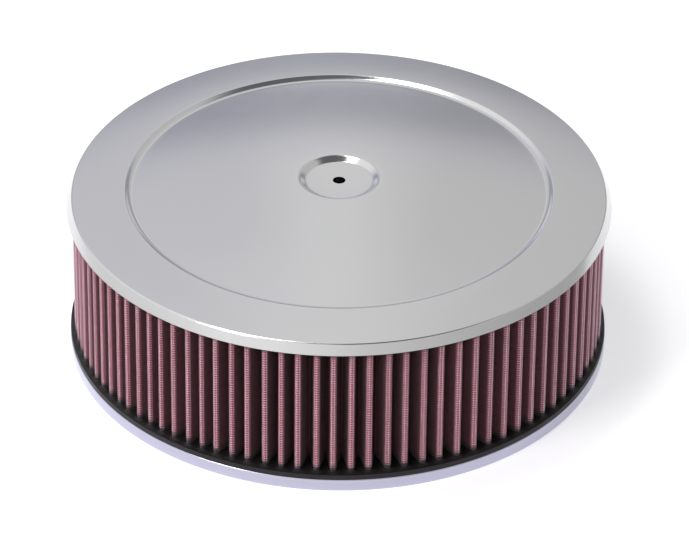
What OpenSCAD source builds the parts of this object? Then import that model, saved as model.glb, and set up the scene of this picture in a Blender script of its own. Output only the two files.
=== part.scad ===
// Round air cleaner for a carburetor: a pleated cotton element held between a pressed lid and a pressed base.
// The origin is at the centre of the base's lower edge, +Z is up, and every length is in millimetres.

/* [Lid] */
// Outside diameter of the lid
lid_d = 355.6; // [340:0.1:380]
// Thickness of the lid's sheet
lid_t = 1.0; // [0.7:0.1:1.4]
// Depth of the lid's skirt, from the ring's outer corner to its lower edge
lid_skirt_h = 6.5; // [5.5:0.1:9]
// How far the skirt flares out, from the ring to its lower edge
lid_flare = 3.6; // [0:0.1:4.5]
// Outside radius of the bend between the ring and the skirt
lid_bend_r = 1.6; // [1.5:0.1:3]
// Rise of the ring, from the skirt to the pressed step
lid_ring_rise = 3.3; // [0:0.1:6]
// Ring left inside the element's bore before the pressed step
lid_ring_margin = 14.5; // [8:0.5:30]
// Depth of the pressed step
lid_step_h = 3.3; // [1:0.1:4]
// Width of the pressed step, from its upper to its lower corner
lid_step_w = 5.0; // [4.5:0.1:10]
// Rise of the shallow dome, from the foot of the step to the rim of the centre recess
lid_dome_h = 11.8; // [4:0.1:30]
// Diameter of the centre recess at its rim
recess_d = 54; // [40:1:90]
// Depth of the centre recess
recess_h = 2.8; // [1:0.1:4]
// Diameter of the hole for the hold-down stud
stud_hole_d = 8.2; // [6:0.1:13]

/* [Element] */
// Height of the element, over both rubber end caps
element_h = 101.6; // [50:0.1:160]
// Number of pleats
pleat_count = 98; // [70:1:110]
// Depth of the pleats, from tip to root
pleat_depth = 17; // [12:0.5:30]
// Radius left open inside each fold
fold_gap_r = 0.3; // [0.2:0.05:0.6]
// Thickness of each wire screen
screen_t = 0.45; // [0.3:0.05:0.6]
// Thickness of the cotton gauze
gauze_t = 1.1; // [0.8:0.1:1.5]
// Gap in which the two ends of the pleated sheets meet
seam_gap = 0.2; // [0.1:0.05:0.5]
// Width of each leg of the clip that closes the seam
clip_leg_w = 6; // [3:0.5:8]
// Thickness of the clip's strip
clip_t = 0.5; // [0.3:0.05:0.8]

/* [End caps] */
// Height of each rubber end cap
cap_h = 8.4; // [6.5:0.1:14]
// Rubber between the ends of the pleats and the seat
cap_floor_t = 3.0; // [2:0.1:4]
// Height of the straight side round the cap
cap_side_h = 5.0; // [4.8:0.1:6]
// Radius of the lower cap's outer corner
cap_edge_r = 0.6; // [0.3:0.1:1.5]
// Clearance between the upper cap and the lid's skirt and bend
cap_lid_gap = 0.2; // [0.1:0.05:1]
// How far the cap's side stands out past the pleat tips
cap_lip = 2.4; // [2:0.1:5]
// Rubber over the pleat tips at the cap's inner edge
tip_cover_t = 0.7; // [0.4:0.1:1.2]
// Rubber inside the pleat roots
root_cover_t = 1.6; // [1:0.1:4]

/* [Base] */
// How far the base stands out past the rubber
base_lip = 0.4; // [0.1:0.1:2]
// Thickness of the base's sheet
base_t = 1.0; // [0.7:0.1:1.6]
// Height of the rim that is turned down round the base
base_rim_h = 8.4; // [7:0.1:20]
// Outside radius of the bend between the seat and the rim
base_bend_r = 1.8; // [1.7:0.1:4]
// Clearance between the locating bead and the inside of the element
bead_gap = 1.5; // [0.5:0.1:5]
// Width of the locating bead at its foot
bead_w = 11; // [10:0.5:16]
// Height of the locating bead
bead_h = 3.0; // [2:0.1:4]
// Rise of the stiffening shelf round the neck
shelf_h = 3.0; // [2:0.1:4]
// Width of the shelf, from the neck's bore to the foot of its slope
shelf_w = 34; // [26:1:60]
// Width of each pressed slope in the base
slope_w = 3.5; // [3:0.1:4]

/* [Neck] */
// Bore of the neck that drops over the carburetor's air horn
neck_d = 130.2; // [100:0.1:140]
// Outside radius of the bend into the neck
neck_bend_r = 3.0; // [2:0.1:4]
// Height of the neck's lower edge above the base's lower edge
neck_lift = 1.0; // [0.5:0.1:4]
// Width of the gasket under the shelf
gasket_w = 10; // [7:0.5:16]
// Thickness of the gasket
gasket_t = 3.5; // [3.1:0.1:5]

/* [Hidden] */
$fn = 120;

// Largest turn of one flat piece in a rounded corner, in degrees
turn_step = 16;
// Radius of the corners of the pressed step, the centre recess and the base's slopes
step_top_corner_r = 2;
step_foot_corner_r = 7;
recess_corner_r = 2.5;
slope_corner_r = 2.5;
// Width of the slope between the recess's rim and its floor
recess_slope_w = 4.5;
// Flat pieces along the dome's arc
dome_steps = 8;
// Flats round each pleat's tip and round its root
tip_flats = 4;
root_flats = 2;

// Heights of the faces that meet
seat_z = base_rim_h;
lid_seat_z = seat_z + element_h;
ring_z = lid_seat_z + lid_t;
shelf_z = seat_z + shelf_h;
media_z0 = seat_z + cap_floor_t;
media_z1 = lid_seat_z - cap_floor_t;

// Radii from the outside in
lid_r = lid_d / 2;
ring_out_r = lid_r - lid_flare;
cap_r = lid_r - lid_t - cap_lid_gap;
base_r = cap_r + base_lip;
tip_r = cap_r - cap_lip;
root_r = tip_r - pleat_depth;
cap_in_r = root_r - root_cover_t;
bead_out_r = cap_in_r - bead_gap;
bead_in_r = bead_out_r - bead_w;
neck_r = neck_d / 2;
shelf_out_r = neck_r + shelf_w;

// The lid's inner field is part of a sphere on the axis
step_out_r = cap_in_r - lid_ring_margin;
step_in_r = step_out_r - lid_step_w;
step_z = ring_z + lid_ring_rise - lid_step_h;
recess_r = recess_d / 2;
dome_top_z = step_z + lid_dome_h;
sphere_depth = (step_in_r ^ 2 - recess_r ^ 2 - lid_dome_h ^ 2) / (2 * lid_dome_h);
sphere_r = norm([step_in_r, sphere_depth]);

// The ring's rise and the skirt's flare as angles, which the upper cap follows
ring_slope = atan(lid_ring_rise / (ring_out_r - step_out_r));
flare_angle = atan(lid_flare / lid_skirt_h);

// Every fold turns round two centres, and its flanks are tangent to both turns
pitch = 360 / pleat_count;
media_t = 2 * screen_t + gauze_t;
fold_r = fold_gap_r + media_t;
tip_centre_r = tip_r - fold_r;
root_centre_r = root_r + fold_r;
flank = root_centre_r * [cos(pitch / 2), sin(pitch / 2)] - [tip_centre_r, 0];
tip_turn = atan2(flank.y, flank.x) - acos((fold_r + fold_gap_r) / norm(flank));
root_turn = tip_turn - pitch / 2;
seam_angle = 90;

function unit(v) = v / norm(v);
function left_of(v) = [-v.y, v.x] / norm(v);
function flat(p) = [p.x, p.y];
function turned(p, a) = [p.x * cos(a) - p.y * sin(a), p.x * sin(a) + p.y * cos(a)];
function reversed(list) = [for (i = [len(list) - 1 : -1 : 0]) list[i]];

// Corner b of the path a, b, c as an arc of radius r
function corner(a, b, c, r) =
    let (
        u = unit(a - b),
        v = unit(c - b),
        half = acos(u * v) / 2,
        centre = b + unit(u + v) * r / sin(half),
        start = b + u * r / tan(half) - centre,
        turn = (180 - 2 * half) * sign(u.y * v.x - u.x * v.y),
        steps = max(2, ceil(abs(turn) / turn_step))
    )
    [for (i = [0 : steps]) centre + turned(start, turn * i / steps)];

// A path of [radius, height, corner radius] with its corners rounded
function rounded(path) = [
    for (i = [0 : len(path) - 1])
        let (p = path[i])
        each (p[2] == 0 ? [flat(p)] : corner(flat(path[i - 1]), flat(p), flat(path[i + 1]), p[2]))
];

// The same path moved to its left by the sheet's thickness
function moved(path, t) = [
    for (i = [0 : len(path) - 1])
        let (
            last = len(path) - 1,
            before = left_of(path[max(i, 1)] - path[max(i, 1) - 1]),
            after = left_of(path[min(i, last - 1) + 1] - path[min(i, last - 1)])
        )
        path[i] + (before + after) * t / (1 + before * after)
];

// Outer corners of flats that are tangent to a turn, from one end of the turn to the other
function flats(count, radius, from, to) = [
    for (i = [0 : count - 1])
        radius / cos((to - from) / count / 2) * turned([1, 0], from + (to - from) * (i + 0.5) / count)
];

// One face of the folded sheets, at a depth below their outer face
function fold_face(depth) = [
    for (i = [0 : pleat_count - 1])
        let (a = seam_angle + pitch * (i + 0.5))
        each concat(
            [for (p = flats(tip_flats, fold_r - depth, -tip_turn, tip_turn)) turned([tip_centre_r, 0] + p, a)],
            [for (p = flats(root_flats, fold_gap_r + depth, 180 + root_turn, 180 - root_turn))
                turned([root_centre_r, 0] + p, a + pitch / 2)]
        )
];

module pressed_sheet(path, t) {
    outer = rounded(path);
    rotate_extrude() polygon(concat(outer, reversed(moved(outer, t))));
}

module top_plate() {
    dome = [for (i = [0 : dome_steps])
        let (r = step_in_r + (recess_r - step_in_r) * i / dome_steps)
        [r, step_z - sphere_depth + sqrt(sphere_r ^ 2 - r ^ 2), 0]];
    color("gainsboro") pressed_sheet(concat(
        [
            [lid_r, ring_z - lid_skirt_h, 0],
            [ring_out_r, ring_z, lid_bend_r],
            [step_out_r, ring_z + lid_ring_rise, step_top_corner_r],
            [step_in_r, step_z, step_foot_corner_r]
        ],
        [for (i = [1 : dome_steps - 1]) dome[i]],
        [
            [recess_r, dome_top_z, recess_corner_r],
            [recess_r - recess_slope_w, dome_top_z - recess_h, recess_corner_r],
            [stud_hole_d / 2, dome_top_z - recess_h, 0]
        ]
    ), lid_t);
}

module base_plate() {
    bead_top_z = seat_z + bead_h;
    color("gainsboro") pressed_sheet([
        [base_r, 0, 0],
        [base_r, seat_z, base_bend_r],
        [bead_out_r, seat_z, slope_corner_r],
        [bead_out_r - slope_w, bead_top_z, slope_corner_r],
        [bead_in_r + slope_w, bead_top_z, slope_corner_r],
        [bead_in_r, seat_z, slope_corner_r],
        [shelf_out_r, seat_z, slope_corner_r],
        [shelf_out_r - slope_w, shelf_z, slope_corner_r],
        [neck_r, shelf_z, neck_bend_r],
        [neck_r, neck_lift, 0]
    ], base_t);
}

// The gasket lies under the shelf against the neck, bevelled to clear the inside of the neck's bend
module neck_gasket() {
    in_r = neck_r + base_t;
    top_z = shelf_z - base_t;
    bevel = neck_bend_r - base_t;
    color("dimgray") rotate_extrude() polygon([
        [in_r, top_z - gasket_t],
        [in_r + gasket_w, top_z - gasket_t],
        [in_r + gasket_w, top_z],
        [in_r + bevel, top_z],
        [in_r, top_z - bevel]
    ]);
}

module fold_section(from_depth, to_depth) {
    difference() {
        polygon(fold_face(from_depth));
        polygon(fold_face(to_depth));
    }
}

// A pleated sheet whose two ends meet at the root on the seam
module pleated_sheet(from_depth, to_depth) {
    translate([0, 0, media_z0]) linear_extrude(media_z1 - media_z0) difference() {
        fold_section(from_depth, to_depth);
        rotate(seam_angle) translate([root_r - media_t, -seam_gap / 2]) square([3 * media_t, seam_gap]);
    }
}

module outer_wire_screen() {
    color("rosybrown") pleated_sheet(0, screen_t);
}

module cotton_gauze() {
    color("firebrick") pleated_sheet(screen_t, screen_t + gauze_t);
}

module inner_wire_screen() {
    color("silver") pleated_sheet(screen_t + gauze_t, media_t);
}

// A strip folded over the seam, on the clean side, from one end cap to the other
module seam_clip() {
    leg = clip_leg_w * [sin(root_turn), cos(root_turn)];
    function face(r) = concat(
        [r * turned([1, 0], 180 - root_turn) + leg],
        flats(root_flats, r, 180 - root_turn, 180 + root_turn),
        [r * turned([1, 0], 180 + root_turn) + [leg.x, -leg.y]]
    );
    color("silver") translate([0, 0, seat_z + cap_h]) linear_extrude(element_h - 2 * cap_h)
        rotate(seam_angle) translate([root_centre_r, 0])
            polygon(concat(face(fold_r), reversed(face(fold_r + clip_t))));
}

// A rubber ring, seat down, moulded round the ends of the pleated sheets.
// Its outline is given from the seat's inner edge to the top of its straight side.
module end_cap(seat_and_side) {
    color([0.13, 0.12, 0.13]) difference() {
        rotate_extrude() polygon(rounded(concat(seat_and_side, [[tip_r + tip_cover_t, cap_h, 0], [cap_in_r, cap_h, 0]])));
        translate([0, 0, cap_floor_t]) linear_extrude(cap_h) fold_section(0, media_t);
    }
}

module lower_end_cap() {
    translate([0, 0, seat_z]) end_cap([[cap_in_r, 0, 0], [cap_r, 0, cap_edge_r], [cap_r, cap_side_h, 0]]);
}

// The upper cap follows the inside of the lid's ring, bend and skirt
module upper_end_cap() {
    seat_gap = lid_t / cos(ring_slope);
    side_gap = (lid_t + cap_lid_gap) / cos(flare_angle);
    corner_depth = (seat_gap - side_gap * tan(ring_slope)) / (1 - tan(flare_angle) * tan(ring_slope));
    corner_r = ring_out_r + corner_depth * tan(flare_angle) - side_gap;
    translate([0, 0, lid_seat_z]) mirror([0, 0, 1]) end_cap([
        [cap_in_r, corner_depth - lid_t - (corner_r - cap_in_r) * tan(ring_slope), 0],
        [corner_r, corner_depth - lid_t, lid_bend_r - lid_t + cap_lid_gap],
        [ring_out_r + (cap_side_h + lid_t) * tan(flare_angle) - side_gap, cap_side_h, 0]
    ]);
}

top_plate();
upper_end_cap();
outer_wire_screen();
cotton_gauze();
inner_wire_screen();
seam_clip();
lower_end_cap();
base_plate();
neck_gasket();
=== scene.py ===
import math
import random

import bmesh
import bpy
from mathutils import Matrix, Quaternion, Vector


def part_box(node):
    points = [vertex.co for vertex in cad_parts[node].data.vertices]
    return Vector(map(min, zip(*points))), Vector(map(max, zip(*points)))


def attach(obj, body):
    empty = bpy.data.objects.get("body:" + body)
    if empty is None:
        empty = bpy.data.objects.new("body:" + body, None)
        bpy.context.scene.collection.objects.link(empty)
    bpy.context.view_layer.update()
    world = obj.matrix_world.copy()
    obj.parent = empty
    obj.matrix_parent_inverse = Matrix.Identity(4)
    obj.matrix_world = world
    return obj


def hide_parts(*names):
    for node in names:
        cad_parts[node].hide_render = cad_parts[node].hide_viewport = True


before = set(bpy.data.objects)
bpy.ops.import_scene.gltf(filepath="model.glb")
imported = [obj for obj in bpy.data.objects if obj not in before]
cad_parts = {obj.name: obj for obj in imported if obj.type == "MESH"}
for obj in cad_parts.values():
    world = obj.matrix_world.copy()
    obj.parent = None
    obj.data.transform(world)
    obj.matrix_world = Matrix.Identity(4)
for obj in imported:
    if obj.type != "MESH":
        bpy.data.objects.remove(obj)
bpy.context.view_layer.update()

# Base plate
# One round of 1 mm steel sheet, pressed into a turned-down rim, a locating bead, a shelf and a neck, then
# polished and chromed. The element stands on its flat, and the neck drops over the carburetor's air horn.
MM = 0.001
SHEET_T = 1.0 * MM
RIM_R = 177.0 * MM
RIM_BEND_R = 1.8 * MM
SEAT_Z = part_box("lower_end_cap")[0].z
SHELF_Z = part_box("base_plate")[1].z
BEAD_OUT_R = 154.1 * MM
BEAD_IN_R = 143.1 * MM
BEAD_H = 3.0 * MM
SHELF_OUT_R = 99.1 * MM
SLOPE_W = 3.5 * MM
SLOPE_CORNER_R = 2.5 * MM
NECK_R = 65.1 * MM
NECK_BEND_R = 3.0 * MM
NECK_LIFT = 1.0 * MM
ARC_STEP = math.radians(7)
TURN_COLUMNS = 288
# The base's chrome is darker and bluer than the lid's: painted shade and a painted lavender reflection of the
# floor beside it
SHADED_BASE_CHROME = (0.50, 0.50, 0.61, 1)


def corner_arc(before, corner, after, radius):
    """A corner of an outline as an arc, as a list of points."""
    u = (before - corner).normalized()
    v = (after - corner).normalized()
    half = u.angle(v) / 2
    centre = corner + (u + v).normalized() * (radius / math.sin(half))
    start = corner + u * (radius / math.tan(half)) - centre
    turn = math.copysign(math.pi - 2 * half, u.y * v.x - u.x * v.y)
    steps = max(2, math.ceil(abs(turn) / ARC_STEP))
    arc = []
    for i in range(steps + 1):
        c, s = math.cos(turn * i / steps), math.sin(turn * i / steps)
        arc.append(centre + Vector((start.x * c - start.y * s, start.x * s + start.y * c)))
    return arc


def rounded(path):
    """A path of (radius, height, corner radius) with its corners rounded."""
    points = [Vector(p[:2]) for p in path]
    line = []
    for i, (_, _, radius) in enumerate(path):
        if radius:
            line += corner_arc(points[i - 1], points[i], points[i + 1], radius)
        else:
            line.append(points[i])
    return line


def sheet_outline(path, thickness):
    """The closed section of a pressed sheet: its upper face, and its lower face to the left of it."""
    upper = rounded(path)
    lower = []
    for i, point in enumerate(upper):
        into = (upper[max(i, 1)] - upper[max(i, 1) - 1]).normalized()
        out = (upper[min(i, len(upper) - 2) + 1] - upper[min(i, len(upper) - 2)]).normalized()
        left = Vector((-into.y - out.y, into.x + out.x))
        lower.append(point + left * thickness / (1 + into.dot(out)))
    return upper + lower[::-1]


def finished_piece(name, mesh, material, sharp_from):
    """An object at the origin with one material, shaded smooth up to an angle between faces."""
    mesh.materials.clear()
    mesh.materials.append(material)
    mesh.shade_smooth()
    mesh.set_sharp_from_angle(angle=math.radians(sharp_from))
    piece = bpy.data.objects.new(name, mesh)
    bpy.context.scene.collection.objects.link(piece)
    return piece


def grid_mesh(name, rows):
    """A closed skin from rows of points. The last row meets the first, and each row is a closed loop."""
    mesh = bpy.data.meshes.new(name)
    size = len(rows[0])
    faces = []
    for i in range(len(rows)):
        this, following = i * size, (i + 1) % len(rows) * size
        for j in range(size):
            k = (j + 1) % size
            faces.append((this + j, following + j, following + k, this + k))
    mesh.from_pydata([point for row in rows for point in row], [], faces)
    build = bmesh.new()
    build.from_mesh(mesh)
    bmesh.ops.recalc_face_normals(build, faces=build.faces)
    build.to_mesh(mesh)
    build.free()
    return mesh


def spun_mesh(name, outline, columns=TURN_COLUMNS):
    """A closed section of (radius, height) points turned round the Z axis."""
    rows = []
    for i in range(columns):
        c, s = math.cos(math.tau * i / columns), math.sin(math.tau * i / columns)
        rows.append([(p.x * c, p.x * s, p.y) for p in outline])
    return grid_mesh(name, rows)


def add_node(tree, kind, inputs=(), **settings):
    """A node in a tree, with its settings. Its inputs are values, or the sockets that feed them."""
    node = tree.nodes.new(kind)
    for key, value in settings.items():
        setattr(node, key, value)
    for key, value in dict(inputs).items():
        if isinstance(value, bpy.types.NodeSocket):
            tree.links.new(value, node.inputs[key])
        else:
            node.inputs[key].default_value = value
    return node


def object_place(tree):
    """The place of a point on the object, in metres."""
    return add_node(tree, "ShaderNodeTexCoord").outputs["Object"]


def noise(tree, place, **amounts):
    """A cloudy noise over the surface, around 0.5."""
    return add_node(tree, "ShaderNodeTexNoise", {"Vector": place, **amounts}).outputs["Fac"]


def combined(tree, operation, first, second):
    """Two values combined by a Math node."""
    return add_node(tree, "ShaderNodeMath", {0: first, 1: second}, operation=operation).outputs[0]


def spread(tree, value, low, high, to_low=0, to_high=1):
    """A value between low and high, spread over another range and held inside it."""
    node = add_node(tree, "ShaderNodeMapRange", {
        "Value": value, "From Min": low, "From Max": high, "To Min": to_low, "To Max": to_high})
    return node.outputs["Result"]


def mixed(tree, factor, first, second, blend_type="MIX"):
    """Two colours mixed by a factor."""
    node = add_node(tree, "ShaderNodeMix", {
        "Factor": factor, "A": first, "B": second}, data_type="RGBA", blend_type=blend_type)
    return node.outputs["Result"]


def bumped(tree, height, strength, distance):
    """A normal that follows a height over the surface."""
    return add_node(tree, "ShaderNodeBump", {
        "Height": height, "Strength": strength, "Distance": distance}).outputs["Normal"]


def shader_group(name, inputs, outputs):
    """An empty shader node group with named inputs and outputs, and its two end nodes."""
    group = bpy.data.node_groups.new(name, "ShaderNodeTree")
    for label, (kind, value) in inputs.items():
        group.interface.new_socket(name=label, in_out="INPUT", socket_type=kind).default_value = value
    for label, kind in outputs.items():
        group.interface.new_socket(name=label, in_out="OUTPUT", socket_type=kind)
    return group, group.nodes.new("NodeGroupInput"), group.nodes.new("NodeGroupOutput")


def placed_group(tree, group, **values):
    """A shader node group in a material, with its own values."""
    node = tree.nodes.new("ShaderNodeGroup")
    node.node_tree = group
    for label, value in values.items():
        node.inputs[label].default_value = value
    return node


def new_material(name, **constants):
    """A material with a Principled BSDF, and the constants on its own sockets."""
    material = bpy.data.materials.new(name)
    material.use_nodes = True
    shader = material.node_tree.nodes["Principled BSDF"]
    for label, value in constants.items():
        shader.inputs[label.replace("_", " ")].default_value = value
    return material, material.node_tree, shader


def polish_marks_group():
    """Faint smudges, hairlines and the slight ripple of a polished sheet."""
    group, given, result = shader_group("polish marks", {
        "Roughness": ("NodeSocketFloat", 0.15),
        "Smudges": ("NodeSocketFloat", 0.06),
        "Hairlines": ("NodeSocketFloat", 0.05),
        "Ripple": ("NodeSocketFloat", 0.05),
    }, {"Roughness": "NodeSocketFloat", "Normal": "NodeSocketVector"})
    place = object_place(group)
    cloud = noise(group, place, Scale=22, Detail=5, Roughness=0.62, Distortion=0.4)
    smudges = spread(group, cloud, 0.42, 0.74, 0, given.outputs["Smudges"])
    stretched = add_node(group, "ShaderNodeMapping", {
        "Vector": place, "Scale": (900, 26, 200), "Rotation": (0, 0, 0.5)}).outputs["Vector"]
    streaks = noise(group, stretched, Scale=1, Detail=3)
    hairlines = spread(group, streaks, 0.60, 0.80, 0, given.outputs["Hairlines"])
    smudged = combined(group, "ADD", given.outputs["Roughness"], smudges)
    group.links.new(combined(group, "ADD", smudged, hairlines), result.inputs["Roughness"])
    waves = noise(group, place, Scale=60, Detail=2)
    group.links.new(bumped(group, waves, given.outputs["Ripple"], 0.2 * MM), result.inputs["Normal"])
    return group


polish_marks = polish_marks_group()


def polished_metal(name, colour, roughness, smudges, hairlines, ripple):
    """Polished metal with its own tint and amount of marks."""
    material, tree, shader = new_material(name, Base_Color=colour, Metallic=1.0)
    marks = placed_group(
        tree, polish_marks, Roughness=roughness, Smudges=smudges, Hairlines=hairlines, Ripple=ripple)
    tree.links.new(marks.outputs["Roughness"], shader.inputs["Roughness"])
    tree.links.new(marks.outputs["Normal"], shader.inputs["Normal"])
    return material


# Painted shade and a painted lavender reflection: the base's chrome is darker and bluer than the lid's
shaded_base_chrome = polished_metal("shaded_base_chrome", SHADED_BASE_CHROME, 0.17, 0.08, 0.06, 0.06)
base_path = [
    (RIM_R, 0, 0),
    (RIM_R, SEAT_Z, RIM_BEND_R),
    (BEAD_OUT_R, SEAT_Z, SLOPE_CORNER_R),
    (BEAD_OUT_R - SLOPE_W, SEAT_Z + BEAD_H, SLOPE_CORNER_R),
    (BEAD_IN_R + SLOPE_W, SEAT_Z + BEAD_H, SLOPE_CORNER_R),
    (BEAD_IN_R, SEAT_Z, SLOPE_CORNER_R),
    (SHELF_OUT_R, SEAT_Z, SLOPE_CORNER_R),
    (SHELF_OUT_R - SLOPE_W, SHELF_Z, SLOPE_CORNER_R),
    (NECK_R, SHELF_Z, NECK_BEND_R),
    (NECK_R, NECK_LIFT, 0),
]
base_mesh = spun_mesh("chromed_base", sheet_outline(base_path, SHEET_T))
base = finished_piece("chromed_base", base_mesh, shaded_base_chrome, 50)
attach(base, "root")
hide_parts("base_plate")

# Neck gasket
# A moulded rubber ring under the base's shelf, pushed on round the neck and bevelled where the neck bends.
# It seals the base on the air horn's flange.
GASKET_W = 10 * MM
GASKET_T = 3.5 * MM
GASKET_EDGE_R = 0.5 * MM
RUBBER_COLOUR = (0.010, 0.008, 0.009, 1)


def rubber_skin_group():
    """The fine grain and the dull patches of moulded rubber."""
    group, given, result = shader_group("rubber skin", {
        "Grain": ("NodeSocketFloat", 0.3),
        "Dullest": ("NodeSocketFloat", 0.62),
    }, {"Roughness": "NodeSocketFloat", "Normal": "NodeSocketVector"})
    place = object_place(group)
    patches = noise(group, place, Scale=55, Detail=4, Roughness=0.6)
    level = spread(group, patches, 0.3, 0.7, 0.36, given.outputs["Dullest"])
    grain = noise(group, place, Scale=1400, Detail=3, Roughness=0.7)
    group.links.new(level, result.inputs["Roughness"])
    group.links.new(bumped(group, grain, given.outputs["Grain"], 0.3 * MM), result.inputs["Normal"])
    return group


rubber_skin = rubber_skin_group()


def rubber_finish(name, grain, dullest):
    """Black moulded rubber."""
    material, tree, shader = new_material(name, Base_Color=RUBBER_COLOUR, Specular_IOR_Level=0.30)
    skin = placed_group(tree, rubber_skin, Grain=grain, Dullest=dullest)
    tree.links.new(skin.outputs["Roughness"], shader.inputs["Roughness"])
    tree.links.new(skin.outputs["Normal"], shader.inputs["Normal"])
    return material


gasket_in_r = NECK_R + SHEET_T
gasket_top = SHELF_Z - SHEET_T
gasket_bevel = NECK_BEND_R - SHEET_T
gasket_outline = rounded([
    (gasket_in_r, gasket_top - gasket_bevel, 0),
    (gasket_in_r, gasket_top - GASKET_T, 0),
    (gasket_in_r + GASKET_W, gasket_top - GASKET_T, GASKET_EDGE_R),
    (gasket_in_r + GASKET_W, gasket_top, 0),
    (gasket_in_r + gasket_bevel, gasket_top, 0),
])
gasket_mesh = spun_mesh("moulded_gasket", gasket_outline, TURN_COLUMNS // 2)
gasket = finished_piece("moulded_gasket", gasket_mesh, rubber_finish("gasket_rubber", 0.35, 0.7), 40)
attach(gasket, "root")
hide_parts("neck_gasket")

# Cotton gauze
# Four layers of oiled red cotton gauze, folded with the screens into deep pleats and bent into a ring. The
# folds were set by hand, so they stand a little unevenly. The two ends of the sheets meet at the back.
PLEATS = 98
PITCH = math.tau / PLEATS
TIP_R = 174.2 * MM
PLEAT_DEPTH = 17 * MM
SCREEN_T = 0.45 * MM
GAUZE_T = 1.1 * MM
FOLD_GAP_R = 0.3 * MM
SEAM_ANGLE = math.radians(90)
MEDIA_T = 2 * SCREEN_T + GAUZE_T
FOLD_R = FOLD_GAP_R + MEDIA_T
ROOT_R = TIP_R - PLEAT_DEPTH
TIP_CENTRE_R = TIP_R - FOLD_R
ROOT_CENTRE_R = ROOT_R + FOLD_R
MEDIA_Z0, MEDIA_Z1 = (corner.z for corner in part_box("cotton_gauze"))
TIP_STEPS = 6
ROOT_STEPS = 3
# Where the folds crowd: once and twice round, and from which direction
CROWD_ONCE = 0.030
CROWD_TWICE = 0.025
CROWD_FROM = math.radians(-44)
FOLD_UNEVEN = math.radians(0.24)
TIP_UNEVEN = 0.30 * MM
COTTON_DARK = (0.105, 0.012, 0.018, 1)
COTTON_RED = (0.400, 0.070, 0.095, 1)
# Painted shade deep in the folds, with the oil's darkening
SHADED_SOAKED_COTTON = (0.055, 0.010, 0.013, 1)

chance = random.Random(14)
fold_shift = [chance.uniform(-FOLD_UNEVEN, FOLD_UNEVEN) for _ in range(PLEATS)]
tip_shift = [chance.uniform(-TIP_UNEVEN, TIP_UNEVEN) for _ in range(PLEATS)]
fold_shift[0] = fold_shift[-1] = 0


def between_pleats(values, angle):
    """A value that each pleat has, blended between the middles of neighbouring pleats."""
    place = (angle - SEAM_ANGLE) / PITCH - 0.5
    low = math.floor(place)
    part = place - low
    return values[low % PLEATS] * (1 - part) + values[(low + 1) % PLEATS] * part


def crowding(angle):
    """How far the folds at an angle are pushed round, towards the crowded side."""
    turn = angle - CROWD_FROM
    return CROWD_ONCE * math.sin(turn) + CROWD_TWICE * math.sin(2 * turn)


def settled(radius, angle):
    """Where a point of the even ring of pleats lies in the uneven one, as (x, y)."""
    turned = angle + crowding(angle) - crowding(SEAM_ANGLE) + between_pleats(fold_shift, angle)
    out = radius + between_pleats(tip_shift, angle) * max(0, (radius - ROOT_R) / PLEAT_DEPTH)
    return out * math.cos(turned), out * math.sin(turned)


flank_x = ROOT_CENTRE_R * math.cos(PITCH / 2) - TIP_CENTRE_R
flank_y = ROOT_CENTRE_R * math.sin(PITCH / 2)
TIP_TURN = math.atan2(flank_y, flank_x) - math.acos((FOLD_R + FOLD_GAP_R) / math.hypot(flank_x, flank_y))
ROOT_TURN = TIP_TURN - PITCH / 2


def fold_points(depth):
    """One even pleat at a depth below the outer face, from tip to root: (radius, angle from its middle)."""
    points = []
    for i in range(TIP_STEPS + 1):
        turn = TIP_TURN * (2 * i / TIP_STEPS - 1)
        x = TIP_CENTRE_R + (FOLD_R - depth) * math.cos(turn)
        y = (FOLD_R - depth) * math.sin(turn)
        points.append((math.hypot(x, y), math.atan2(y, x)))
    for i in range(ROOT_STEPS + 1):
        turn = math.pi + ROOT_TURN * (1 - 2 * i / ROOT_STEPS)
        x = ROOT_CENTRE_R + (FOLD_GAP_R + depth) * math.cos(turn)
        y = (FOLD_GAP_R + depth) * math.sin(turn)
        points.append((math.hypot(x, y), math.atan2(y, x) + PITCH / 2))
    return points


def fold_loop(depth):
    """The closed line of all pleats at a depth below the outer face, as (x, y) points."""
    pleat = fold_points(depth)
    middles = [SEAM_ANGLE + PITCH * (i + 0.5) for i in range(PLEATS)]
    return [settled(radius, middle + angle) for middle in middles for radius, angle in pleat]


def folded_sheet_mesh(name, outer_depth, inner_depth):
    """A folded sheet of one thickness, with a UV map in metres along the folds and up the pleats."""
    outer, inner = fold_loop(outer_depth), fold_loop(inner_depth)
    rows = []
    for a, b in zip(outer, inner):
        rows.append([(*a, MEDIA_Z0), (*a, MEDIA_Z1), (*b, MEDIA_Z1), (*b, MEDIA_Z0)])
    mesh = grid_mesh(name, rows)
    along = [0.0]
    for a, b in zip(outer, outer[1:] + outer[:1]):
        along.append(along[-1] + math.dist(a, b))
    uv = mesh.uv_layers.new(name="weave")
    for face in mesh.polygons:
        columns = [mesh.loops[loop].vertex_index // 4 for loop in face.loop_indices]
        closing = max(columns) - min(columns) > 1
        for loop, column in zip(face.loop_indices, columns):
            place = along[-1] if closing and column == 0 else along[column]
            uv.data[loop].uv = (place, mesh.vertices[mesh.loops[loop].vertex_index].co.z)
    return mesh


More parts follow.
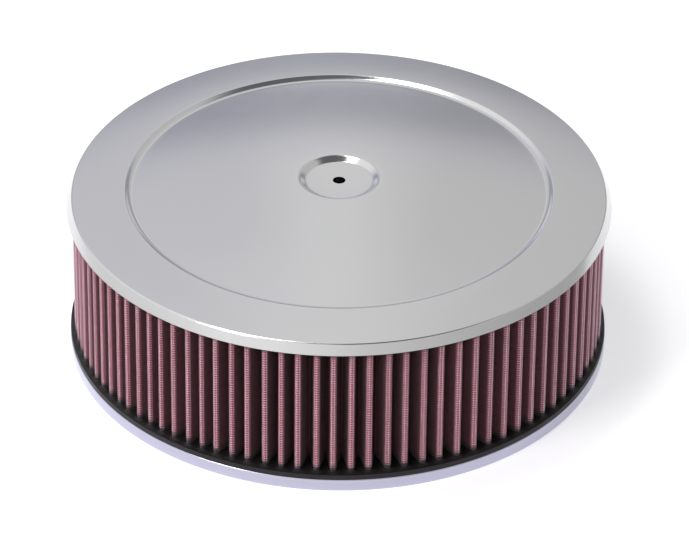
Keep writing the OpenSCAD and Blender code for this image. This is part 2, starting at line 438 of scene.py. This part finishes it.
def weave_group():
    """Threads or wires that cross at right angles, read from a UV map in metres."""
    group, given, result = shader_group("woven threads", {
        "Spacing": ("NodeSocketFloat", 0.5 * MM),
        "Unevenness": ("NodeSocketFloat", 0.2),
    }, {"Height": "NodeSocketFloat", "Gaps": "NodeSocketFloat"})
    spacing = given.outputs["Spacing"]
    place = add_node(group, "ShaderNodeUVMap", uv_map="weave").outputs["UV"]
    wander = add_node(group, "ShaderNodeTexNoise", {"Vector": place, "Scale": 300, "Detail": 3})
    drift = add_node(group, "ShaderNodeVectorMath", {
        0: wander.outputs["Color"], 1: (0.5, 0.5, 0.5)}, operation="SUBTRACT")
    reach = combined(group, "MULTIPLY", spacing, given.outputs["Unevenness"])
    moved = add_node(group, "ShaderNodeVectorMath", {0: drift.outputs[0], "Scale": reach}, operation="SCALE")
    uneven = add_node(group, "ShaderNodeVectorMath", {0: place, 1: moved.outputs[0]})
    axes = add_node(group, "ShaderNodeSeparateXYZ", {0: uneven.outputs[0]})
    threads = []
    for axis in ("X", "Y"):
        turn = combined(group, "MULTIPLY", combined(group, "DIVIDE", axes.outputs[axis], spacing), math.tau)
        wave = add_node(group, "ShaderNodeMath", {0: turn}, operation="COSINE")
        threads.append(spread(group, wave.outputs[0], -1, 1))
    top = combined(group, "MAXIMUM", *threads)
    group.links.new(top, result.inputs["Height"])
    group.links.new(spread(group, top, 0.35, 0.75, 1, 0), result.inputs["Gaps"])
    return group


woven_threads = weave_group()


def rubber_creep_group():
    """How far the rubber has crept over the folds near an end cap: 1 where it covers them, 0 above."""
    group, given, result = shader_group("rubber creep", {
        "Low edge": ("NodeSocketFloat", 14.2 * MM),
        "Fade": ("NodeSocketFloat", 4 * MM),
        "High edge": ("NodeSocketFloat", 103 * MM),
    }, {"Cover": "NodeSocketFloat"})
    low_edge, fade, high_edge = (given.outputs[label] for label in ("Low edge", "Fade", "High edge"))
    place = object_place(group)
    height = add_node(group, "ShaderNodeSeparateXYZ", {0: place}).outputs["Z"]
    rag = noise(group, place, Scale=260, Detail=4, Roughness=0.65)
    ragged = combined(group, "ADD", height, spread(group, rag, 0.3, 0.7, -1.6 * MM, 1.6 * MM))
    low = spread(group, ragged, low_edge, combined(group, "ADD", low_edge, fade), 1, 0)
    high = spread(group, ragged, combined(group, "SUBTRACT", high_edge, fade), high_edge)
    group.links.new(combined(group, "MAXIMUM", low, high), result.inputs["Cover"])
    return group


rubber_creep = rubber_creep_group()


def shade_and_oil_depth_group():
    """How deep in the folds a point lies: 0 on the tips, and 1 deep down, where painted shade and the oil's
    darkening are full.
    """
    group, given, result = shader_group("painted shade and oil depth", {
        "Tip radius": ("NodeSocketFloat", TIP_R),
        "Lit tips": ("NodeSocketFloat", 0.5 * MM),
        "Shaded and soaked": ("NodeSocketFloat", 2.7 * MM),
    }, {"Depth": "NodeSocketFloat"})
    axes = add_node(group, "ShaderNodeSeparateXYZ", {0: object_place(group)})
    flat = add_node(group, "ShaderNodeCombineXYZ", {"X": axes.outputs["X"], "Y": axes.outputs["Y"]})
    radius = add_node(group, "ShaderNodeVectorMath", {0: flat.outputs[0]}, operation="LENGTH")
    below = combined(group, "SUBTRACT", given.outputs["Tip radius"], radius.outputs["Value"])
    depth = spread(group, below, given.outputs["Lit tips"], given.outputs["Shaded and soaked"])
    group.links.new(depth, result.inputs["Depth"])
    return group


shade_and_oil_depth = shade_and_oil_depth_group()


def shaded_oiled_and_covered(tree, colour, shaded_oiled, most_shade_and_oil):
    """A colour darkened deep in the folds by painted shade and the oil, blackened by the rubber near the
    caps, and the rubber's cover.
    """
    depth = placed_group(tree, shade_and_oil_depth).outputs["Depth"]
    cover = placed_group(tree, rubber_creep).outputs["Cover"]
    # Deep in the folds the colour turns to the dark one: painted shade, with the oil's darkening.
    shaded_soaked = mixed(tree, spread(tree, depth, 0, 1, 0, most_shade_and_oil), colour, shaded_oiled)
    return mixed(tree, cover, shaded_soaked, RUBBER_COLOUR), cover


def woven_finish(name, spacing, unevenness, gap_colour, thread_colour, bump_strength, **constants):
    """A woven sheet: its threads or wires, the darker gaps between them, painted shade and oil deep in its
    folds, and the rubber on it.
    """
    material, tree, shader = new_material(name, **constants)
    weave = placed_group(tree, woven_threads, Spacing=spacing, Unevenness=unevenness)
    blotches = noise(tree, object_place(tree), Scale=90, Detail=5, Roughness=0.6)
    depth = add_node(tree, "ShaderNodeMath", {
        0: weave.outputs["Gaps"], 1: spread(tree, blotches, 0.25, 0.75, 0.25, 0)}, use_clamp=True)
    cloth = mixed(tree, depth.outputs[0], thread_colour, gap_colour)
    colour, _ = shaded_oiled_and_covered(tree, cloth, SHADED_SOAKED_COTTON, 0.86)
    tree.links.new(colour, shader.inputs["Base Color"])
    tree.links.new(bumped(tree, weave.outputs["Height"], bump_strength, spacing / 3), shader.inputs["Normal"])
    return material


oiled_cotton = woven_finish(
    "oiled_cotton", 0.55 * MM, 0.5, COTTON_DARK, COTTON_RED, 0.6,
    Roughness=0.72, Sheen_Weight=0.25, Sheen_Roughness=0.5)
gauze_mesh = folded_sheet_mesh("folded_cotton", SCREEN_T, SCREEN_T + GAUZE_T)
gauze = finished_piece("folded_cotton", gauze_mesh, oiled_cotton, 60)
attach(gauze, "root")
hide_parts("cotton_gauze")

# Inner wire screen
# Aluminium wire cloth folded with the cotton, on its clean side, to hold the gauze open against the flow.
INNER_WIRE = (0.55, 0.47, 0.48, 1)
inner_wire_cloth = woven_finish(
    "inner_wire_cloth", 1.3 * MM, 0.1, COTTON_DARK, INNER_WIRE, 0.8, Roughness=0.42, Metallic=0.6)
inner_mesh = folded_sheet_mesh("folded_inner_screen", SCREEN_T + GAUZE_T, MEDIA_T)
inner_screen = finished_piece("folded_inner_screen", inner_mesh, inner_wire_cloth, 60)
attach(inner_screen, "root")
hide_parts("inner_wire_screen")

# Outer wire screen
# Aluminium wire cloth, woven square from round wire and folded with the cotton, on the side that meets the
# dirt. The level wires run round every fold, and the upright ones stand behind them.
WIRE_R = 0.17 * MM
WIRE_SPACING = 1.8 * MM
UPRIGHT_DEPTH = 3.0 * WIRE_R
WIRE_BANDS = 3
WIRE_COLOUR = (0.98, 0.82, 0.93, 1)
WIRE_STAIN = (0.74, 0.45, 0.55, 1)
# Painted shade deep in the folds, with the oil's darkening, on the wires
WIRE_SHADED_OILED = (0.15, 0.05, 0.07, 1)
BARE_METALLIC = 0.9
SCREEN_Z0 = MEDIA_Z0 + 1 * MM
SCREEN_Z1 = MEDIA_Z1 - 1 * MM


def wire_tree(name):
    """An empty Geometry Nodes tree with its geometry sockets and its end nodes."""
    tree = bpy.data.node_groups.new(name, "GeometryNodeTree")
    tree.interface.new_socket(name="Fold line", in_out="INPUT", socket_type="NodeSocketGeometry")
    for label, kind in {
        "Lowest": "NodeSocketFloat", "Highest": "NodeSocketFloat", "Spacing": "NodeSocketFloat",
        "Wire radius": "NodeSocketFloat", "Rows": "NodeSocketInt", "Finish": "NodeSocketMaterial",
    }.items():
        tree.interface.new_socket(name=label, in_out="INPUT", socket_type=kind)
    tree.interface.new_socket(name="Wires", in_out="OUTPUT", socket_type="NodeSocketGeometry")
    return tree, tree.nodes.new("NodeGroupInput"), tree.nodes.new("NodeGroupOutput")


def end_wire_tree(tree, given, result, wires):
    """The end of a tree: smooth, real and finished."""
    smooth = add_node(tree, "GeometryNodeSetShadeSmooth", {"Geometry": wires})
    real = add_node(tree, "GeometryNodeRealizeInstances", {"Geometry": smooth.outputs["Geometry"]})
    finished = add_node(tree, "GeometryNodeSetMaterial", {
        "Geometry": real.outputs["Geometry"], "Material": given.outputs["Finish"]})
    tree.links.new(finished.outputs["Geometry"], result.inputs["Wires"])


def level_wires_tree():
    """Level wires: the fold line as a round wire, repeated upwards."""
    tree, given, result = wire_tree("level wires")
    line = add_node(tree, "GeometryNodeMeshToCurve", {"Mesh": given.outputs["Fold line"]})
    section = add_node(tree, "GeometryNodeCurvePrimitiveCircle", {
        "Resolution": 3, "Radius": given.outputs["Wire radius"]})
    wire = add_node(tree, "GeometryNodeCurveToMesh", {
        "Curve": line.outputs["Curve"], "Profile Curve": section.outputs["Curve"]})
    start = add_node(tree, "ShaderNodeCombineXYZ", {"Z": given.outputs["Lowest"]})
    step = add_node(tree, "ShaderNodeCombineXYZ", {"Z": given.outputs["Spacing"]})
    rows = add_node(tree, "GeometryNodeMeshLine", {
        "Count": given.outputs["Rows"], "Start Location": start.outputs[0], "Offset": step.outputs[0]})
    placed = add_node(tree, "GeometryNodeInstanceOnPoints", {
        "Points": rows.outputs["Mesh"], "Instance": wire.outputs["Mesh"]})
    end_wire_tree(tree, given, result, placed.outputs["Instances"])
    return tree


def upright_wires_tree():
    """Upright wires: one straight wire at each step along the fold line."""
    tree, given, result = wire_tree("upright wires")
    line = add_node(tree, "GeometryNodeMeshToCurve", {"Mesh": given.outputs["Fold line"]})
    steps = add_node(tree, "GeometryNodeResampleCurve", {
        "Curve": line.outputs["Curve"], "Length": given.outputs["Spacing"]}, mode="LENGTH")
    low = add_node(tree, "ShaderNodeCombineXYZ", {"Z": given.outputs["Lowest"]})
    high = add_node(tree, "ShaderNodeCombineXYZ", {"Z": given.outputs["Highest"]})
    upright = add_node(tree, "GeometryNodeCurvePrimitiveLine", {
        "Start": low.outputs[0], "End": high.outputs[0]})
    section = add_node(tree, "GeometryNodeCurvePrimitiveCircle", {
        "Resolution": 3, "Radius": given.outputs["Wire radius"]})
    wire = add_node(tree, "GeometryNodeCurveToMesh", {
        "Curve": upright.outputs["Curve"], "Profile Curve": section.outputs["Curve"]})
    placed = add_node(tree, "GeometryNodeInstanceOnPoints", {
        "Points": steps.outputs["Curve"], "Instance": wire.outputs["Mesh"]})
    end_wire_tree(tree, given, result, placed.outputs["Instances"])
    return tree


def grown_piece(name, tree, loop, values):
    """Runs a tree on a closed line and keeps what comes out as a plain mesh."""
    line = bpy.data.meshes.new(name + "_line")
    count = len(loop)
    line.from_pydata([(x, y, 0) for x, y in loop], [(i, (i + 1) % count) for i in range(count)], [])
    piece = bpy.data.objects.new(name, line)
    bpy.context.scene.collection.objects.link(piece)
    modifier = piece.modifiers.new("wires", "NODES")
    modifier.node_group = tree
    for socket in tree.interface.items_tree:
        if socket.in_out == "INPUT" and socket.name in values:
            modifier[socket.identifier] = values[socket.name]
    grown = bpy.data.meshes.new_from_object(piece.evaluated_get(bpy.context.evaluated_depsgraph_get()))
    piece.modifiers.remove(modifier)
    piece.data = grown
    return piece


def wire_finish():
    """Bright wire, stained by the red oil, darkened deep in the folds by painted shade and the oil, and
    blackened by the rubber near the end caps.
    """
    material, tree, shader = new_material("outer_wires", Roughness=0.3)
    stain = noise(tree, object_place(tree), Scale=320, Detail=4, Roughness=0.7)
    stained = mixed(tree, spread(tree, stain, 0.42, 0.70, 0, 0.7), WIRE_COLOUR, WIRE_STAIN)
    colour, cover = shaded_oiled_and_covered(tree, stained, WIRE_SHADED_OILED, 0.95)
    tree.links.new(colour, shader.inputs["Base Color"])
    tree.links.new(spread(tree, cover, 0, 1, BARE_METALLIC, 0), shader.inputs["Metallic"])
    return material


outer_wires = wire_finish()
level_rows = int((SCREEN_Z1 - SCREEN_Z0) / WIRE_SPACING)
band_rows = math.ceil(level_rows / WIRE_BANDS)
level_tree = level_wires_tree()
wire_values = {"Spacing": WIRE_SPACING, "Wire radius": WIRE_R, "Finish": outer_wires}
screen_pieces = []
for band in range(WIRE_BANDS):
    first_row = band * band_rows
    screen_pieces.append(grown_piece(f"level_wires_{band + 1}", level_tree, fold_loop(WIRE_R), {
        "Lowest": SCREEN_Z0 + first_row * WIRE_SPACING,
        "Rows": min(band_rows, level_rows - first_row),
        **wire_values}))
screen_pieces.append(grown_piece("upright_wires", upright_wires_tree(), fold_loop(UPRIGHT_DEPTH), {
    "Lowest": SCREEN_Z0, "Highest": SCREEN_Z1, **wire_values}))
for piece in screen_pieces:
    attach(piece, "root")
    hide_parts("outer_wire_screen")

# Seam clip
# A strip of thin steel, folded over the two meeting ends of the sheets and crimped. It is on the clean side.
CLIP_STEEL = (0.62, 0.62, 0.63, 1)
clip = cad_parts["seam_clip"]
clip.data.materials.clear()
clip.data.materials.append(polished_metal("crimped_steel", CLIP_STEEL, 0.34, 0.14, 0.18, 0.15))

# End caps
# Liquid rubber, poured into a round mould in which the pleats stand, one end after the other. It seals the
# folds, creeps up them a little as it sets, and gives the element a soft seat at each end.
CAP_R = 176.6 * MM
CAP_IN_R = 155.6 * MM
CAP_SIDE_H = 3.1 * MM
CAP_SHOULDER_R = 175.9 * MM
CREEP_H = 0.9 * MM
CREEP_REACH = 0.9 * MM
POUR_H = 3.7 * MM
EDGE_LIFT = 0.15 * MM
EDGE_SAG = 0.55 * MM
RING_SAMPLES = 20
EDGE_SAMPLES = 3
PLEAT_COLUMNS = 24
HIDDEN_PLEAT_COLUMNS = 12


def sheet_distance(radius, angle, line):
    """How far a point of the even ring is from the line of the sheets, in a pleat and its neighbours."""
    x, y = radius * math.cos(angle), radius * math.sin(angle)
    nearest = math.inf
    for (ax, ay), (bx, by) in zip(line, line[1:]):
        dx, dy = bx - ax, by - ay
        part = max(0, min(1, ((x - ax) * dx + (y - ay) * dy) / (dx * dx + dy * dy)))
        nearest = min(nearest, math.hypot(x - ax - part * dx, y - ay - part * dy))
    return nearest


def pour_heights(columns):
    """Heights of the set rubber over one pleat, by column and by radius from the shoulder inwards."""
    line = []
    for i in (-1, 0, 1):
        for radius, angle in fold_points(MEDIA_T / 2):
            line.append((radius * math.cos(angle + i * PITCH), radius * math.sin(angle + i * PITCH)))
    table = []
    for column in range(columns):
        angle = PITCH * (column / columns - 0.5)
        heights = []
        for k in range(RING_SAMPLES + 1):
            radius = CAP_SHOULDER_R + (CAP_IN_R - CAP_SHOULDER_R) * k / RING_SAMPLES
            clear = max(0, sheet_distance(radius, angle, line) - MEDIA_T / 2)
            edge = min(1, k / EDGE_SAMPLES)
            heights.append((POUR_H + CREEP_H * math.exp(-clear / CREEP_REACH)) * edge
                           + (CAP_SIDE_H + EDGE_LIFT) * (1 - edge))
        table.append(heights)
    return table


def poured_cap_mesh(name, seat_and_side, columns, seat_z, upwards):
    """A rubber ring: its moulded outline from the seat's inner edge to the side's top, and its set pour."""
    table = pour_heights(columns)
    moulded = rounded(seat_and_side)
    rows = []
    for i in range(PLEATS * columns):
        angle = SEAM_ANGLE + PITCH * i / columns
        outwards = Vector(settled(ROOT_R, angle)) / ROOT_R
        row = [(*(outwards * p.x), seat_z + upwards * p.y) for p in moulded]
        for k, height in enumerate(table[i % columns]):
            radius = CAP_SHOULDER_R + (CAP_IN_R - CAP_SHOULDER_R) * k / RING_SAMPLES
            row.append((*settled(radius, angle), seat_z + upwards * height))
        rows.append(row)
    return grid_mesh(name, rows)


cap_rubber = rubber_finish("cap_rubber", 0.4, 0.58)
# The lower cap's edge sags into the bend of the base
lower_outline = [
    (CAP_IN_R, 0, 0), (RIM_R - RIM_BEND_R, 0, 0), (CAP_R - EDGE_SAG, -0.25 * EDGE_SAG, 0),
    (CAP_R, -EDGE_SAG, 0), (CAP_R, CAP_SIDE_H, 0)]
lower_mesh = poured_cap_mesh("poured_lower_cap", lower_outline, PLEAT_COLUMNS, SEAT_Z, 1)
lower_cap = finished_piece("poured_lower_cap", lower_mesh, cap_rubber, 60)
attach(lower_cap, "root")
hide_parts("lower_end_cap")

# The upper cap is poured the same way, in a mould that follows the inside of the lid's ring, bend and skirt
LID_R = 177.8 * MM
LID_SEAT_Z = SEAT_Z + 101.6 * MM
LID_BEND_R = 1.6 * MM
SKIRT_H = 6.5 * MM
SKIRT_FLARE = 3.6 * MM
RING_RISE = 3.3 * MM
STEP_OUT_R = 139.4 * MM
LID_GAP = 0.2 * MM
ring_out_r = LID_R - SKIRT_FLARE
ring_slope = RING_RISE / (ring_out_r - STEP_OUT_R)
skirt_slope = SKIRT_FLARE / SKIRT_H
seat_gap = SHEET_T * math.hypot(1, ring_slope)
side_gap = (SHEET_T + LID_GAP) * math.hypot(1, skirt_slope)
corner_depth = (seat_gap - side_gap * ring_slope) / (1 - skirt_slope * ring_slope)
corner_r = ring_out_r + corner_depth * skirt_slope - side_gap
upper_outline = [
    (CAP_IN_R, corner_depth - SHEET_T - (corner_r - CAP_IN_R) * ring_slope, 0),
    (corner_r, corner_depth - SHEET_T, LID_BEND_R - SHEET_T + LID_GAP),
    (ring_out_r + (CAP_SIDE_H + SHEET_T) * skirt_slope - side_gap, CAP_SIDE_H, 0),
]
upper_mesh = poured_cap_mesh("poured_upper_cap", upper_outline, HIDDEN_PLEAT_COLUMNS, LID_SEAT_Z, -1)
upper_cap = finished_piece("poured_upper_cap", upper_mesh, cap_rubber, 60)
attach(upper_cap, "root")
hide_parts("upper_end_cap")

# Lid
# One round of 1 mm steel sheet, pressed with a flared skirt, a rising ring, a step, a shallow dome and a
# centre recess with the stud's hole, then polished and chromed. A nut on the carburetor's stud holds it down.
RING_Z = LID_SEAT_Z + SHEET_T
STEP_IN_R = 136.1 * MM
STEP_H = 2.2 * MM
STEP_TOP_CORNER_R = 1.5 * MM
STEP_FOOT_CORNER_R = 5.0 * MM
DOME_TOP_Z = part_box("top_plate")[1].z
RECESS_R = 26 * MM
RECESS_H = 2.8 * MM
RECESS_SLOPE_W = 4.0 * MM
RECESS_RIM_R = 4.0 * MM
RECESS_FOOT_R = 2.5 * MM
STUD_HOLE_R = 4.1 * MM
DOME_STEPS = 24
LID_CHROME = (0.62, 0.62, 0.625, 1)
step_z = RING_Z + RING_RISE - STEP_H
dome_rise = DOME_TOP_Z - step_z
sphere_depth = (STEP_IN_R ** 2 - RECESS_R ** 2 - dome_rise ** 2) / (2 * dome_rise)
sphere_r = math.hypot(STEP_IN_R, sphere_depth)
lid_path = [
    (LID_R, RING_Z - SKIRT_H, 0),
    (ring_out_r, RING_Z, LID_BEND_R),
    (STEP_OUT_R, RING_Z + RING_RISE, STEP_TOP_CORNER_R),
    (STEP_IN_R, step_z, STEP_FOOT_CORNER_R),
]
for i in range(1, DOME_STEPS):
    r = STEP_IN_R + (RECESS_R - STEP_IN_R) * i / DOME_STEPS
    lid_path.append((r, step_z - sphere_depth + math.sqrt(sphere_r ** 2 - r ** 2), 0))
lid_path += [
    (RECESS_R, DOME_TOP_Z, RECESS_RIM_R),
    (RECESS_R - RECESS_SLOPE_W, DOME_TOP_Z - RECESS_H, RECESS_FOOT_R),
    (STUD_HOLE_R, DOME_TOP_Z - RECESS_H, 0),
]
lid_chrome = polished_metal("lid_chrome", LID_CHROME, 0.12, 0.05, 0.05, 0.04)
lid_mesh = spun_mesh("chromed_lid", sheet_outline(lid_path, SHEET_T))
lid = finished_piece("chromed_lid", lid_mesh, lid_chrome, 50)
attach(lid, "root")
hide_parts("top_plate")

# Studio
# The air cleaner stands on a wide white floor in soft light from the front left. The room's back wall has a
# darker band low down, which the chrome shows, and its ceiling is dark beside the overhead box.
FLOOR_R = 24.0
FLOOR_WHITE = (0.80, 0.80, 0.82, 1)
FLOOR_LIFT = 0.38
DARK_CEILING = (0.13, 0.13, 0.14, 1)
WALL_STRENGTH = 1.25
# Height, level and tint, from the floor to the ceiling
BACK_WALL = [
    (0.0, 0.95, 1.0), (0.20, 0.92, 1.04), (0.25, 0.52, 1.12), (0.31, 0.50, 1.12), (0.37, 0.57, 1.10),
    (0.42, 0.75, 1.06), (0.46, 0.86, 1.03), (0.52, 0.91, 1.0), (0.955, 0.95, 1.0), (0.98, 0.14, 1.0)]
FRONT_WALL = [(0.0, 0.95, 1.0), (0.3, 1.0, 1.0), (0.955, 1.0, 1.0), (0.98, 0.14, 1.0)]
# Left to right, with the middle at 0.5
BACK_SIDES = [
    (0.0, 0.76, 1.05), (0.40, 0.70, 1.05), (0.45, 0.70, 1.04), (0.48, 0.79, 1.01),
    (0.50, 0.81, 1.0), (0.52, 0.76, 1.0), (0.55, 0.66, 1.0), (1.0, 0.58, 1.0)]
FRONT_SIDES = [
    (0.0, 0.80, 1.0), (0.15, 0.90, 1.0), (0.30, 0.92, 1.0), (0.42, 0.82, 1.0), (0.50, 0.76, 1.0),
    (0.58, 0.67, 1.0), (0.70, 0.62, 1.0), (0.90, 0.51, 1.0), (1.0, 0.44, 1.0)]
floor_mesh = bpy.data.meshes.new("floor")
floor_corners = 96
floor_mesh.from_pydata(
    [(FLOOR_R * math.cos(math.tau * i / floor_corners), FLOOR_R * math.sin(math.tau * i / floor_corners), 0)
     for i in range(floor_corners)], [], [tuple(range(floor_corners))])
floor = bpy.data.objects.new("floor", floor_mesh)
bpy.context.scene.collection.objects.link(floor)
floor_white, floor_tree, floor_shader = new_material("floor_white", Base_Color=FLOOR_WHITE, Roughness=0.9)
rays = add_node(floor_tree, "ShaderNodeLightPath")
seen = combined(floor_tree, "MAXIMUM", rays.outputs["Is Camera Ray"], rays.outputs["Is Glossy Ray"])
seen_all = combined(floor_tree, "MAXIMUM", seen, rays.outputs["Is Transmission Ray"])
lifted = combined(floor_tree, "MULTIPLY", seen_all, FLOOR_LIFT)
glow = add_node(floor_tree, "ShaderNodeEmission", {"Color": (1, 1, 1, 1), "Strength": lifted})
both = add_node(floor_tree, "ShaderNodeAddShader", {0: floor_shader.outputs[0], 1: glow.outputs[0]})
floor_tree.links.new(both.outputs[0], floor_tree.nodes["Material Output"].inputs["Surface"])
floor_mesh.materials.append(floor_white)

world = bpy.data.worlds.new("studio_walls")
bpy.context.scene.world = world
world.use_nodes = True
walls = world.node_tree
outlook = add_node(walls, "ShaderNodeTexCoord").outputs["Generated"]
direction = add_node(walls, "ShaderNodeSeparateXYZ", {0: outlook})
across = spread(walls, direction.outputs["X"], -1, 1)


def wall_ramp(place, levels):
    """The level of a wall along one direction, from 0 to 1, with a slight tint."""
    ramp = add_node(walls, "ShaderNodeValToRGB", {"Fac": place})
    elements = ramp.color_ramp.elements
    while len(elements) < len(levels):
        elements.new(0.5)
    for element, (position, level, tint) in zip(elements, levels):
        element.position = position
        element.color = (level, level, level * tint, 1)
    return ramp.outputs["Color"]


def wall_level(heights, sides):
    """A wall's level by height and from side to side."""
    by_height = wall_ramp(direction.outputs["Z"], heights)
    return mixed(walls, 1.0, by_height, wall_ramp(across, sides), "MULTIPLY")


back_share = spread(walls, direction.outputs["Y"], 0.40, 0.75)
all_round = mixed(walls, back_share, wall_level(FRONT_WALL, FRONT_SIDES), wall_level(BACK_WALL, BACK_SIDES))
high = spread(walls, direction.outputs["Z"], 0.82, 0.90)
to_right = spread(walls, direction.outputs["X"], -0.03, 0.05)
room = mixed(walls, combined(walls, "MULTIPLY", high, to_right), all_round, DARK_CEILING)
wall = walls.nodes["Background"]
wall.inputs["Strength"].default_value = WALL_STRENGTH
walls.links.new(room, wall.inputs["Color"])


def soft_light(name, place, target, width, height, watts, colour=(1, 1, 1)):
    """A rectangular soft box that faces a point of the object."""
    lamp = bpy.data.lights.new(name, "AREA")
    lamp.shape = "RECTANGLE"
    lamp.size, lamp.size_y = width, height
    lamp.energy = watts
    lamp.color = colour
    light = bpy.data.objects.new(name, lamp)
    light.location = place
    light.rotation_euler = (Vector(target) - Vector(place)).to_track_quat("-Z", "Y").to_euler()
    bpy.context.scene.collection.objects.link(light)


MIDDLE = (0, 0, 0.06)
soft_light("overhead_box", (-0.42, 0.20, 1.72), MIDDLE, 0.7, 0.4, 6)
soft_light("front_left_box", (-1.55, -1.35, 1.75), MIDDLE, 0.8, 0.8, 27, (0.98, 0.95, 1.0))

# Camera
# The photograph was taken with a long lens from about 33 degrees above, a little to the side of the middle.
LENS_PIXELS = 4988
PHOTO_WIDTH = 689
PHOTO_HEIGHT = 550
CENTRE_U = 339.0
CENTRE_V = 191.7
LOOK_DOWN = math.radians(33.06)
DISTANCE = 3.250
ROLL = math.radians(0.53)
camera_data = bpy.data.cameras.new("camera")
camera = bpy.data.objects.new("camera", camera_data)
bpy.context.scene.collection.objects.link(camera)
bpy.context.scene.camera = camera
camera_data.sensor_width = 36
camera_data.lens = LENS_PIXELS / PHOTO_WIDTH * camera_data.sensor_width
camera.location = (0, -DISTANCE * math.cos(LOOK_DOWN), RING_Z + DISTANCE * math.sin(LOOK_DOWN))
camera.rotation_mode = "QUATERNION"
to_ring = Vector((0, math.cos(LOOK_DOWN), -math.sin(LOOK_DOWN))).to_track_quat("-Z", "Y")
rolled = Quaternion((0, 0, 1), ROLL)
turned_side = Quaternion((0, 1, 0), -math.atan((PHOTO_WIDTH / 2 - CENTRE_U) / LENS_PIXELS))
turned_down = Quaternion((1, 0, 0), -math.atan((PHOTO_HEIGHT / 2 - CENTRE_V) / LENS_PIXELS))
camera.rotation_quaternion = to_ring @ rolled @ turned_side @ turned_down
bpy.context.scene.view_settings.view_transform = "Standard"
